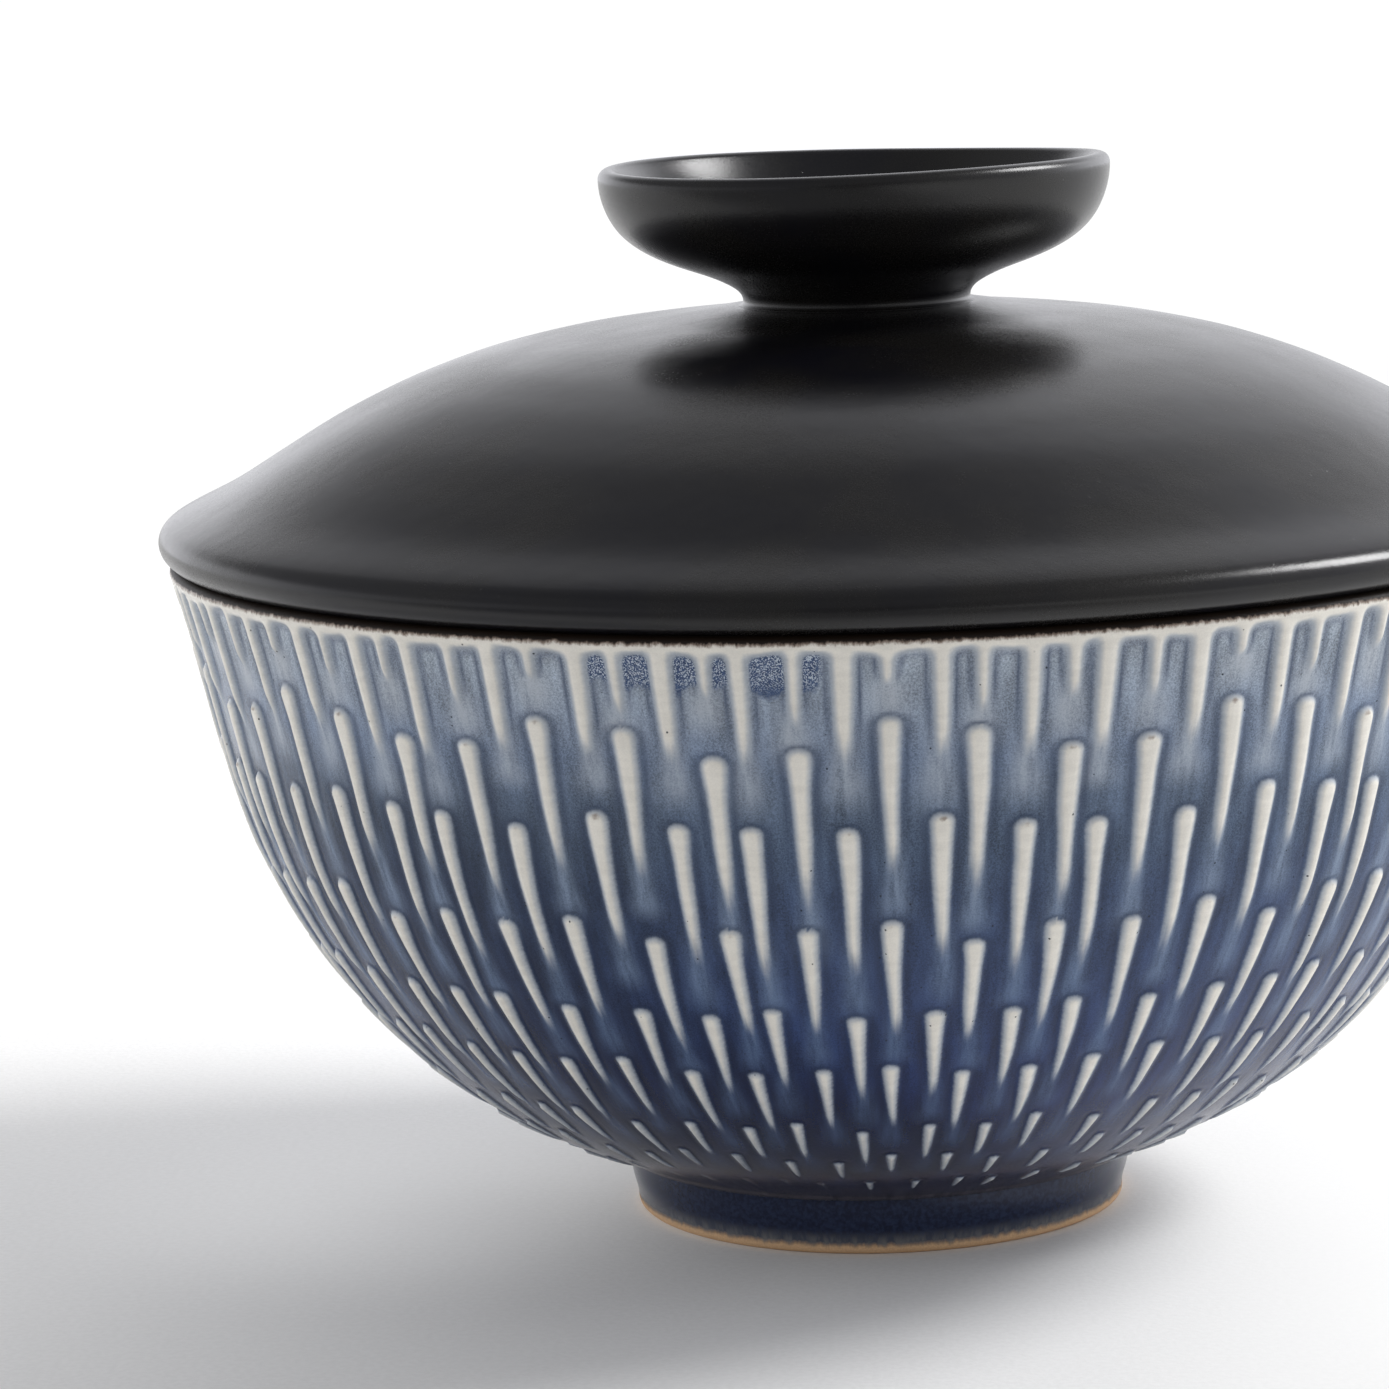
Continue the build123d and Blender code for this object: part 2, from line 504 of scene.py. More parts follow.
def thick_glaze_and_painted_shade(azimuth, below):
    """Where the blue is darker, from 0 to 1: painted shade on the front left of the wall, thicker
    glaze at the back.
    """
    degrees, sink = np.degrees(azimuth)[None, :], smooth(58, 100, below)[:, None]
    amount = np.zeros((len(below), len(azimuth)))
    for centre, reach in THICK_AND_SHADED_AREAS:
        turn = (degrees - centre - DARK_AREA_DRIFT * sink + 180) % 360 - 180
        amount = np.maximum(amount, np.exp(-((turn / (reach + DARK_AREA_SPREAD * sink)) ** 4)))
    return amount * (smooth(16, 36, below) * (1 - smooth(106, 116, below)))[:, None]


# ---------------------------------------------------------------- pieces

# Points round the dashed wall and round the plain surfaces, and spacing down the wall
WALL_COLUMNS = 1248
PLAIN_COLUMNS = 312
WALL_SPACING = 0.5
# Length of outline for one unit of the texture coordinate v
V_LENGTH = 400
# What is stored at each point of the bowl. below is the distance down the outer wall from the
# rim's edge. It is negative over the rim, and falls from INSIDE on the way down the inner wall.
BOWL_FIELDS = ("below", "edge", "slip", "pool", "haze", "rust", "cobalt", "thick_blue_and_shade")
INSIDE = -5.0


def make_bowl():
    draw = np.random.default_rng(SEED)
    azimuth, plain = circle(WALL_COLUMNS), circle(PLAIN_COLUMNS)
    wall = evenly(bowl_outer()[::-1], WALL_SPACING)
    below_wall = along(wall)
    rim = arc((RIM_RADIUS - RIM_IN, SEAT_HEIGHT - RIM_DROP), RIM_IN, RIM_DROP, 90, 0, 9)[:-1]
    outline = np.vstack([rim, wall])
    over_rim = along(np.vstack([rim, wall[:1]]))
    below = np.concatenate([over_rim[:-1] - over_rim[-1], below_wall])
    facing = left_of(outline)
    relief = Relief(azimuth, below, outline[:, 0], draw)
    all_dashes(relief, draw)
    waver = 0.06 * np.sin(azimuth * 3 + 1)[None, :] * np.sin(below / 17)[:, None]
    # no relief on top of the rim or where the foot ring joins the wall
    held = smooth(-3.0, -0.6, below) * smooth(0.2, 3.0, below[-1] - below)
    height = (relief.height() + waver) * held[:, None]
    skin = Turned()
    fields = {key: [] for key in BOWL_FIELDS}

    def add(points, v, depth, edge=FAR, *others):
        skin.ring(points, v)
        unset = [0.0] * (len(BOWL_FIELDS) - 2)
        for key, value in zip(BOWL_FIELDS, (depth, edge, *others, *unset)):
            fields[key].append(np.broadcast_to(value, len(points)))

    foot = below[-1]
    add(np.array([[0, 0, FOOT_HEIGHT]]), 0, depth=foot + 40)
    for radius in np.linspace(6, outline[-1, 0] - 1.0, 12):
        add(ring_points(plain, radius, FOOT_HEIGHT), radius / V_LENGTH, depth=foot + 43 - radius)
    cobalt, thick_blue_and_shade = cobalt_patches(azimuth, below), thick_glaze_and_painted_shade(azimuth, below)
    marks = (relief.edge, relief.slip, relief.pool, relief.haze, relief.rust, cobalt, thick_blue_and_shade)
    for i in range(len(outline) - 1, -1, -1):
        radius = outline[i, 0] + facing[i, 0] * height[i]
        z = outline[i, 1] + facing[i, 1] * height[i]
        v = 0.12 + (foot - below[i]) / V_LENGTH
        add(ring_points(azimuth, radius, z), v, below[i], *(values[i] for values in marks))
    inner = evenly(bowl_inner(), 2.0)
    on_top = (outline[0, 0] + inner[0, 0]) / 2
    add(ring_points(azimuth, on_top, SEAT_HEIGHT), 0.44, depth=INSIDE + 1)
    for (radius, z), down in zip(inner, along(inner)):
        add(ring_points(plain, radius, z), 0.45 + down / V_LENGTH, depth=INSIDE - down)
    floor_radius, floor = inner[-1]
    centre_depth = INSIDE - along(inner)[-1] - floor_radius
    for radius in np.linspace(floor_radius, 4, 9)[1:]:
        v = 0.98 - radius / (10 * V_LENGTH)
        add(ring_points(plain, radius, floor), v, depth=centre_depth + radius)
    add(np.array([[0, 0, floor]]), 0.99, depth=centre_depth)
    piece = skin.make("bowl_glazed", {k: np.concatenate(v) for k, v in fields.items()})
    return finished(piece, "bowl", "bowl_body", slip_glaze())


def make_foot_ring():
    azimuth = circle(PLAIN_COLUMNS)
    bore = FOOT_RADIUS - FOOT_WALL
    edge = 1.3
    wall_low, bore_low = FOOT_RADIUS - 1.1, bore + 0.9
    face_outer, face_inner = FOOT_RADIUS - 2.4, bore + 2.4
    outline = joined(
        line((bore, FOOT_HEIGHT), (bore_low, edge)),
        arc((face_inner, edge), face_inner - bore_low, edge, 180, 270, 9),
        line((face_inner, 0), (face_outer, 0), 5),
        arc((face_outer, edge), wall_low - face_outer, edge, -90, 0, 9),
        spline(
            [(wall_low, edge), (FOOT_RADIUS - 0.25, 5.0), (FOOT_RADIUS, FOOT_HEIGHT)],
            start=(0, 1),
            end=(0, 1),
            steps=40,
        ),
        line((FOOT_RADIUS, FOOT_HEIGHT), (bore, FOOT_HEIGHT), 8),
    )
    skin = Turned()
    for i, (radius, height) in enumerate(outline[:-1]):
        loose = math.sin(math.pi * min(max(height / FOOT_HEIGHT, 0), 1)) * 0.16
        wobble = loose * (np.sin(azimuth * 3 + 0.5) + 0.6 * np.sin(azimuth * 7 + height / 2) - 1)
        skin.ring(ring_points(azimuth, radius + wobble, height), i / len(outline))
    skin.close()
    piece = skin.make("foot_ring_glazed")
    return finished(piece, "foot_ring", "bowl_body", foot_glaze())


def make_lid():
    azimuth = circle(PLAIN_COLUMNS)
    dome = lid_dome()
    seat_angle = math.degrees(math.asin((SEAT_HEIGHT - LIP_CENTRE[1]) / LIP_HIGH))
    seat_outer = (LIP_CENTRE[0] + LIP_WIDE * math.cos(math.radians(seat_angle)), SEAT_HEIGHT)
    seat = line((SEAT_INNER, SEAT_HEIGHT), seat_outer, 8)
    under = beside(dome, -LID_WALL)
    stations = np.linspace(0.08, 0.8, 6) * (len(under) - 1)
    underside = spline(
        [(0, PAD_HEIGHT - LID_WALL), *under[stations.astype(int)], (SEAT_INNER, SEAT_HEIGHT)],
        start=(1, 0),
        end=(0.45, -1),
    )
    underside = evenly(underside, 2.0)
    outline = joined(
        underside,
        seat,
        arc(LIP_CENTRE, LIP_WIDE, LIP_HIGH, seat_angle, LIP_JOIN, 40),
        evenly(dome[::-1], 0.7),
        line((PAD_RADIUS, PAD_HEIGHT), (0, PAD_HEIGHT), 6),
    )
    outline = softened(outline, LIP_CENTRE, reach=14.0, width=2.0)
    facing = -left_of(outline)
    outside = len(underside) + len(seat) - 1
    skin = Turned()
    for i, (radius, height) in enumerate(outline):
        if radius < 0.01:
            skin.ring(np.array([[0, 0, height]]), i / len(outline))
            continue
        # throwing ridges and a slight lean, on the outside only and not at the pad or the seat
        free = (i >= outside) * smooth(PAD_RADIUS, PAD_RADIUS + 8, radius)
        free = free * smooth(SEAT_HEIGHT + 0.5, SEAT_HEIGHT + 4, height)
        ridges = 0.014 * math.sin(radius / 1.9) + 0.012 * math.sin(radius / 3.3 + 1) - 0.026
        push = free * (ridges + 0.10 * np.sin(azimuth * 2 + 0.7) * math.sin(radius / 40) - 0.05)
        points = ring_points(azimuth, radius + facing[i, 0] * push, height + facing[i, 1] * push)
        skin.ring(points, i / len(outline))
    piece = skin.make("lid_glazed")
    return finished(piece, "lid", "lid_body", black_glaze("lid_black", 0.05))


def make_lid_flange():
    azimuth = circle(PLAIN_COLUMNS)
    round_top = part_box("lid_flange")[0].z / MM + 2
    outer, inner = FLANGE_RADIUS - 0.4, SEAT_INNER + 0.3
    middle = (outer + inner) / 2
    outline = joined(
        line((SEAT_INNER, SEAT_HEIGHT), (inner, round_top), 9),
        arc((middle, round_top), (outer - inner) / 2, 2, 180, 360, 17),
        line((outer, round_top), (FLANGE_RADIUS, SEAT_HEIGHT), 9),
        line((FLANGE_RADIUS, SEAT_HEIGHT), (SEAT_INNER, SEAT_HEIGHT), 5),
    )
    skin = Turned()
    for i, (radius, height) in enumerate(outline[:-1]):
        skin.ring(ring_points(azimuth, radius, height), i / len(outline))
    skin.close()
    piece = skin.make("lid_flange_bare")
    return finished(piece, "lid_flange", "lid_body", bare_clay())


def make_knob():
    azimuth = circle(PLAIN_COLUMNS)
    neck, fillet, rim_round = 18.5, 0.8, 1.65
    dish_edge = (18.0, 159.0)
    crest = (KNOB_RADIUS - rim_round, KNOB_TOP - rim_round)
    over_rim = arc(crest, rim_round, rim_round, 0, 145, 15)
    outline = joined(
        line((0, PAD_HEIGHT), (neck + fillet, PAD_HEIGHT), 8),
        arc((neck + fillet, PAD_HEIGHT + fillet), fillet, fillet, -90, -180, 5),
        evenly(
            spline(
                [
                    (neck, PAD_HEIGHT + fillet),
                    (21.2, 152.7),
                    (27.0, 155.1),
                    (34.4, 158.3),
                    (38.5, 161.8),
                    (40.4, 165.2),
                    (41.3, 168.4),
                    (KNOB_RADIUS, crest[1]),
                ],
                start=(0, 1),
                end=(0, 1),
            ),
            0.45,
        ),
        over_rim,
        evenly(
            spline(
                [over_rim[-1], (36.4, 168.8), (33.4, 165.4), (28.6, 161.9), dish_edge],
                start=(-0.574, -0.819),
                end=(-1, 0),
            ),
            0.8,
        ),
        line(dish_edge, (0, dish_edge[1]), 12),
    )
    # the rim is uneven: highest at the front right, low at the front left and at the back
    quarter = math.radians(45)
    warp = 0.24 * np.cos(2 * (azimuth - quarter)) + 0.10 * np.cos(azimuth - quarter)
    warp = np.minimum(warp - 0.225 * np.cos(azimuth + quarter) - 0.34, 0)
    back = smooth(math.radians(85), math.radians(170), np.abs(azimuth))
    warp -= (0.62 + 0.25 * np.sin(azimuth)) * back
    skin = Turned()
    for i, (radius, height) in enumerate(outline):
        if radius < 0.01:
            skin.ring(np.array([[0, 0, height]]), i / len(outline))
            continue
        lowered = warp * smooth(157, KNOB_TOP, height)
        skin.ring(ring_points(azimuth, radius, height + lowered), i / len(outline))
    piece = skin.make("knob_glazed")
    return finished(piece, "knob", "lid_body", black_glaze("knob_black", 0.03))


# ---------------------------------------------------------------- materials

class Nodes:
    """A material's node tree, built by calls that take numbers or sockets and give sockets."""

    def __init__(self, name, kind="materials"):
        self.owner = getattr(bpy.data, kind).new(name)
        self.owner.use_nodes = True
        self.tree = self.owner.node_tree
        self.tree.nodes.clear()

    def node(self, kind, inputs=(), output=0, **settings):
        made = self.tree.nodes.new(kind)
        for key, value in settings.items():
            setattr(made, key, value)
        for key, value in dict(inputs).items():
            if isinstance(value, bpy.types.NodeSocket):
                self.tree.links.new(value, made.inputs[key])
            else:
                made.inputs[key].default_value = value
        return made.outputs[output] if output is not None else made

    def math(self, operation, a, b=0.0, c=0.0):
        return self.node("ShaderNodeMath", {0: a, 1: b, 2: c}, operation=operation)

    def add(self, a, b):
        return self.math("ADD", a, b)

    def times(self, a, b):
        return self.math("MULTIPLY", a, b)

    def less(self, a):
        """What is left of 1."""
        return self.math("SUBTRACT", 1.0, a)

    def centred(self, a):
        """A noise value moved to lie round 0."""
        return self.math("SUBTRACT", a, 0.5)

    def rise(self, x, low, high, to_low=0.0, to_high=1.0):
        """A smooth step from one value to another as x goes from low to high."""
        inputs = {"Value": x, "From Min": low, "From Max": high}
        inputs |= {"To Min": to_low, "To Max": to_high}
        return self.node("ShaderNodeMapRange", inputs, interpolation_type="SMOOTHSTEP")

    def mix(self, factor, a, b):
        made = self.node("ShaderNodeMix", output=None, data_type="RGBA")
        for index, value in ((0, factor), (6, a), (7, b)):
            if isinstance(value, bpy.types.NodeSocket):
                self.tree.links.new(value, made.inputs[index])
            else:
                made.inputs[index].default_value = value if index == 0 else (*value, 1.0)
        return made.outputs[2]

    def ramp(self, x, stops):
        """A colour that changes along x: stops are (place, colour)."""
        made = self.node("ShaderNodeValToRGB", {"Fac": x}, output=None)
        elements = made.color_ramp.elements
        while len(elements) < len(stops):
            elements.new(0.5)
        for element, (place, colour) in zip(elements, stops):
            element.position = place
            element.color = (*colour, 1.0)
        return made.outputs[0]

    def field(self, name):
        return self.node("ShaderNodeAttribute", output="Fac", attribute_name=name)

    def place(self):
        return self.node("ShaderNodeTexCoord", output="Object")

    def vector(self, operation, a, b=(0, 0, 0), output="Vector"):
        return self.node("ShaderNodeVectorMath", {0: a, 1: b}, output, operation=operation)

    def stretched(self, vector, scale):
        return self.vector("MULTIPLY", vector, scale)

    def scaled(self, vector, amount):
        return self.node("ShaderNodeVectorMath", {0: vector, "Scale": amount}, operation="SCALE")

    def parts(self, vector):
        return self.node("ShaderNodeSeparateXYZ", {"Vector": vector}, output=None).outputs

    def noise(self, vector, scale, detail=3.0, roughness=0.5):
        inputs = {"Vector": vector, "Scale": scale, "Detail": detail, "Roughness": roughness}
        return self.node("ShaderNodeTexNoise", inputs)

    def cells(self, vector, scale):
        return self.node("ShaderNodeTexVoronoi", {"Vector": vector, "Scale": scale})

    def bump(self, height, millimetres, normal=None):
        inputs = {"Height": height, "Strength": 1.0, "Distance": millimetres * MM}
        if normal is not None:
            inputs["Normal"] = normal
        return self.node("ShaderNodeBump", inputs)

    def finish(self, colour, roughness, normal, ior=1.5):
        inputs = {"Base Color": colour, "Roughness": roughness, "Normal": normal, "IOR": ior}
        shader = self.node("ShaderNodeBsdfPrincipled", inputs)
        self.node("ShaderNodeOutputMaterial", {"Surface": shader}, output=None)
        return self.owner


CREAM = (0.80, 0.772, 0.705)
CREAM_THIN = (0.42, 0.46, 0.51)
RUST = (0.13, 0.060, 0.028)
SPECKLE = (0.56, 0.63, 0.71)
# near black: iron on the rim's top, darkened as painted shade under the lid's lip
IRON_AND_SHADE = (0.010, 0.0055, 0.003)
# How far down the wall and down the inside the glaze's colours change, and the radius at which
# its texture is laid round the wall
WALL_LENGTH, INSIDE_LENGTH = 126.5, 170.0
SKIN_RADIUS = 110.0
# Colours of the blue glaze down the wall: distance below the rim as a share of the wall, then
# where it lies even, where it has pooled, and where it is thin or clouded with slip
BLUE_DOWN_WALL = (
    (0.00, (0.38, 0.42, 0.47)),
    (0.03, (0.32, 0.37, 0.435)),
    (0.09, (0.235, 0.285, 0.365)),
    (0.14, (0.150, 0.197, 0.285)),
    (0.20, (0.100, 0.138, 0.208)),
    (0.26, (0.068, 0.102, 0.170)),
    (0.32, (0.042, 0.068, 0.137)),
    (0.40, (0.032, 0.055, 0.127)),
    (0.48, (0.024, 0.044, 0.117)),
    (0.56, (0.0150, 0.0315, 0.104)),
    (0.64, (0.0100, 0.0215, 0.085)),
    (0.72, (0.0085, 0.0170, 0.070)),
    (0.80, (0.0075, 0.0140, 0.060)),
    (0.90, (0.0140, 0.0190, 0.055)),
    # the last two stops are grey, lightened as painted light where the foot ring shades the bottom
    # of the wall
    (0.96, (0.0600, 0.0560, 0.072)),
    (1.00, (0.0600, 0.0560, 0.068)),
)
POOLED_DOWN_WALL = (
    (0.00, (0.060, 0.085, 0.150)),
    (0.10, (0.042, 0.062, 0.118)),
    (0.25, (0.024, 0.038, 0.080)),
    (0.60, (0.0065, 0.0115, 0.036)),
    (1.00, (0.005, 0.006, 0.014)),
)
PALE_DOWN_WALL = (
    (0.00, (0.50, 0.53, 0.57)),
    (0.16, (0.38, 0.43, 0.50)),
    (0.28, (0.23, 0.295, 0.40)),
    (0.50, (0.115, 0.175, 0.30)),
    (0.80, (0.045, 0.078, 0.170)),
    (1.00, (0.03, 0.045, 0.09)),
)
BLUE_INSIDE = (
    (0.0, (0.36, 0.39, 0.42)),
    (0.10, (0.24, 0.29, 0.36)),
    (0.45, (0.15, 0.20, 0.29)),
    (0.80, (0.075, 0.11, 0.19)),
    (1.0, (0.045, 0.07, 0.14)),
)


def slip_glaze():
    """Cream slip dashes under a blue glaze that breaks pale over them and pools beside them."""
    n = Nodes("blue_slip_glaze")
    below, edge, slip, pool, haze, rust, cobalt, thick_blue_and_shade = (n.field(key) for key in BOWL_FIELDS)
    outward = n.vector("NORMALIZE", n.stretched(n.place(), (1, 1, 0)))
    round_wall = n.stretched(outward, (SKIN_RADIUS, SKIN_RADIUS, 0))
    down = n.node("ShaderNodeCombineXYZ", {"Z": below})
    skin = n.vector("ADD", round_wall, down)
    fine = n.noise(skin, 1.6, 3.0, 0.6)
    grain = n.noise(skin, 3.6, 2.0, 0.75)
    streak = n.noise(n.stretched(skin, (1, 1, 0.16)), 0.75, 3.0, 0.55)
    cloud = n.noise(n.stretched(skin, (1, 1, 0.5)), 0.16, 3.0, 0.55)
    fine_off, streak_off = n.centred(fine), n.centred(streak)
    loose = n.add(edge, n.add(n.times(fine_off, 0.34), n.times(streak_off, 0.2)))

    # blue glaze in the recesses
    share = n.times(below, 1 / WALL_LENGTH)
    blue = n.ramp(share, BLUE_DOWN_WALL)
    shade = n.add(n.rise(streak, 0.30, 0.70, 0.86, 1.12), n.rise(cloud, 0.30, 0.70, -0.18, 0.20))
    shade = n.add(shade, n.rise(grain, 0.28, 0.72, -0.34, 0.34))
    # darker blue: painted shade on the front left, thicker glaze at the back
    shade = n.times(shade, n.rise(thick_blue_and_shade, 0.0, 1.0, 1.06, 0.60))
    blue = n.scaled(blue, shade)
    inside = n.ramp(n.times(n.add(below, -INSIDE), -1 / INSIDE_LENGTH), BLUE_INSIDE)
    blue = n.mix(n.rise(below, INSIDE - 0.5, INSIDE + 1), inside, blue)

    # pale glaze below the tails and on the dashes' skirts, dark glaze pooled round them
    pale = n.ramp(share, PALE_DOWN_WALL)
    washed = n.add(n.rise(streak, 0.25, 0.70, 0.45, 0.95), n.rise(grain, 0.3, 0.7, -0.16, 0.16))
    blue = n.mix(n.times(haze, washed), blue, pale)
    skirt = n.times(n.rise(loose, -0.7, 0.25), n.rise(slip, 0.0, 0.45))
    blue = n.mix(n.times(skirt, 0.5), blue, pale)
    gathered = n.add(n.rise(streak, 0.25, 0.60, 0.60, 1.0), n.times(fine_off, 0.4))
    blue = n.mix(n.times(pool, gathered), blue, n.ramp(share, POOLED_DOWN_WALL))

    # cobalt gathered under the rim, with pale crystals
    crystals = n.rise(n.noise(skin, 5.0, 1.0, 0.5), 0.50, 0.60)
    crystals = n.times(crystals, n.rise(below, 8.0, 5.0, 0.1, 0.9))
    deep = n.mix(n.rise(fine, 0.35, 0.65), (0.022, 0.048, 0.125), (0.048, 0.088, 0.195))
    deep = n.mix(crystals, deep, SPECKLE)
    cobalt_here = n.rise(n.add(cobalt, n.times(n.add(fine_off, streak_off), 0.6)), 0.25, 0.75)
    blue = n.mix(n.times(cobalt_here, n.rise(edge, -0.1, -0.5, 0.0, 0.92)), blue, deep)

    # cream slip, tinted by the glaze towards its edges and lightly banded
    bands = n.noise(n.stretched(skin, (0.25, 0.25, 1)), 0.9, 2.0, 0.5)
    cream = n.mix(n.rise(loose, 0.0, 1.0), CREAM_THIN, CREAM)
    tone = n.add(n.rise(bands, 0.3, 0.7, 0.95, 1.03), n.rise(grain, 0.3, 0.7, -0.035, 0.035))
    cream = n.scaled(cream, tone)
    kept = n.rise(n.add(slip, n.times(streak_off, 0.6)), 0.05, 0.80)
    colour = n.mix(n.times(n.rise(loose, -0.34, 0.30), kept), blue, cream)
    rusty = n.rise(n.add(rust, n.times(fine_off, 0.5)), 0.25, 0.8)
    colour = n.mix(n.times(rusty, 0.6), colour, RUST)

    # iron on the rim's top edge, painted near black there as shade under the lid's lip, and rusty
    # where it stops
    level = n.add(below, n.add(n.times(fine_off, 0.8), n.times(streak_off, 0.6)))
    on_top = n.rise(below, INSIDE, INSIDE + 1)
    rusty = n.less(n.rise(level, -0.30, 0.15))
    colour = n.mix(n.times(rusty, n.times(on_top, 0.8)), colour, RUST)
    iron_and_shade_on_rim = n.times(n.less(n.rise(level, -0.50, -0.15)), on_top)
    colour = n.mix(iron_and_shade_on_rim, colour, IRON_AND_SHADE)

    # pin-holes
    pits = n.less(n.rise(n.cells(skin, 0.42), 0.055, 0.085))
    pits = n.times(pits, n.rise(n.noise(skin, 0.09, 1.0), 0.50, 0.56))
    colour = n.mix(n.times(pits, 0.85), colour, (0.015, 0.02, 0.03))

    roughness = n.add(n.rise(fine, 0.3, 0.7, 0.18, 0.26), n.times(iron_and_shade_on_rim, 0.3))
    crisp = n.times(n.rise(edge, -0.35, 0.35), n.rise(slip, 0.1, 0.7))
    normal = n.bump(crisp, 0.06)
    normal = n.bump(n.add(n.times(fine, 0.5), n.times(streak, 0.5)), 0.05, normal)
    normal = n.bump(pits, -0.08, normal)
    return n.finish(colour, roughness, normal, ior=1.36)


def black_glaze(name, wave_height):
    """Satin black glaze: nearly smooth, with a fine grain, a faint brown cast and a few specks.
    wave_height is how uneven it is, in millimetres."""
    n = Nodes(name)
    place = n.stretched(n.place(), (1 / MM,) * 3)
    grain = n.noise(place, 2.6, 3.0, 0.65)
    cloud = n.noise(place, 0.045, 3.0, 0.5)
    waves = n.noise(place, 0.16, 2.0, 0.5)
    speck = n.less(n.rise(n.cells(place, 0.30), 0.035, 0.06))
    speck = n.times(speck, n.rise(n.noise(place, 0.07, 1.0), 0.52, 0.58))
    colour = n.mix(n.rise(cloud, 0.35, 0.65), (0.0034, 0.0034, 0.0056), (0.0062, 0.0056, 0.0052))
    colour = n.mix(n.times(n.rise(grain, 0.45, 0.8), 0.4), colour, (0.012, 0.0112, 0.0104))
    colour = n.mix(n.times(speck, 0.5), colour, (0.04, 0.04, 0.038))
    roughness = n.add(n.rise(cloud, 0.3, 0.7, 0.22, 0.27), n.rise(grain, 0.3, 0.7, -0.02, 0.03))
    normal = n.bump(waves, wave_height)
    normal = n.bump(grain, 0.016, normal)
    normal = n.bump(speck, 0.03, normal)
    return n.finish(colour, roughness, normal, ior=1.48)


def foot_glaze():
    """Glossy navy that thins to grey and stops short of the bare resting edge."""
    n = Nodes("foot_glaze")
    place = n.stretched(n.place(), (1 / MM,) * 3)
    _, _, height = n.parts(place)
    fine = n.noise(place, 1.3, 4.0, 0.6)
    drips = n.noise(n.stretched(place, (1, 1, 0.2)), 0.8, 4.0, 0.6)
    grain = n.noise(place, 4.0, 3.0, 0.6)
    drips_off, fine_off = n.centred(drips), n.centred(fine)
    level = n.add(height, n.add(n.times(drips_off, 1.6), n.times(fine_off, 0.5)))
    navy = n.mix(n.rise(fine, 0.35, 0.7), (0.006, 0.010, 0.030), (0.016, 0.026, 0.064))
    thin = n.mix(n.rise(drips, 0.35, 0.7), (0.052, 0.060, 0.082), (0.15, 0.15, 0.15))
    clay = n.mix(n.rise(grain, 0.3, 0.75), (0.49, 0.315, 0.18), (0.60, 0.405, 0.24))
    glaze = n.mix(n.rise(level, 1.7, 4.4), thin, navy)
    covered = n.rise(level, 1.0, 2.1)
    colour = n.mix(covered, clay, glaze)
    roughness = n.rise(level, 1.2, 2.2, 0.85, 0.16)
    normal = n.bump(n.rise(level, 1.3, 1.9), 0.12)
    normal = n.bump(grain, 0.02, normal)
    return n.finish(colour, roughness, normal, ior=1.38)


def bare_clay():
    """Unglazed fired clay with a sandy grain."""
    n = Nodes("bare_clay")
    place = n.stretched(n.place(), (1 / MM,) * 3)
    grain = n.noise(place, 3.0, 4.0, 0.65)
    cloud = n.noise(place, 0.2, 3.0, 0.5)
    colour = n.mix(n.rise(grain, 0.3, 0.75), (0.42, 0.29, 0.18), (0.56, 0.41, 0.27))
    colour = n.mix(n.times(n.rise(cloud, 0.4, 0.7), 0.5), colour, (0.30, 0.18, 0.10))
    return n.finish(colour, n.rise(grain, 0.3, 0.7, 0.75, 0.9), n.bump(grain, 0.05))


# A patch of the floor that glows faintly: its place in metres, and how white it is
PATCH, PATCH_WHITE = (-0.075, 0.0, 0.0), 0.16


def floor_paper():
    """Paper that glows to pure white behind and to the right, and faintly in a patch on the left.
    It is dark in front of the object, where only reflections show it. Distances are in metres."""
    n = Nodes("floor_paper")
    place = n.place()
    across, depth, _ = n.parts(place)
    away = n.vector("LENGTH", place, output="Value")
    grain = n.noise(place, 900.0, 3.0, 0.6)
    colour = n.mix(n.rise(grain, 0.3, 0.7), (0.825, 0.82, 0.81), (0.865, 0.86, 0.85))
    # painted shade: the paper turns grey in front of the object, standing in for dim light there
    colour = n.mix(n.rise(depth, -0.12, -0.36, 0.0, 0.85), colour, (0.25, 0.25, 0.25))
    paper = n.node("ShaderNodeBsdfDiffuse", {"Color": colour, "Normal": n.bump(grain, 0.05)})
    lit = n.node("ShaderNodeEmission", {"Color": (1, 1, 1, 1), "Strength": 1.02})
    past_foot = n.times(n.rise(away, 0.042, 0.060), n.rise(depth, -0.22, -0.07))
    white = n.rise(n.vector("DISTANCE", place, PATCH, "Value"), 0.02, 0.075, PATCH_WHITE, 0.0)
    for area in (
        n.times(n.rise(away, 0.55, 1.0), n.rise(depth, -0.2, 0.3)),  # far behind
        n.times(n.rise(across, 0.0, 0.12), past_foot),  # right of the foot
        n.rise(across, 0.16, 0.50),  # far right
    ):
        white = n.math("MAXIMUM", white, area)
    surface = n.node("ShaderNodeMixShader", {0: white, 1: paper, 2: lit})
    n.node("ShaderNodeOutputMaterial", {"Surface": surface}, output=None)
    return n.owner


def finished(piece, node, body, material):
    piece.data.materials.append(material)
    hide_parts(node)
    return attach(piece, body)


# ---------------------------------------------------------------- studio

# Azimuths in the studio are in degrees from behind the object, towards +X.
# Soft boxes: azimuth, elevation, power, width, height, seen in reflections
KEY = (77, 41, 21.5, 0.75, 0.75, True)
FILLS = {
    "fill_left": (-80, 15, 5.0, 1.0, 0.5, False),
    "fill_behind": (5, 18, 18.0, 1.6, 0.5, False),
    "fill_right": (95, 7, 4.5, 1.0, 0.4, False),
    "fill_front": (-155, 12, 5.0, 1.4, 0.5, False),
}
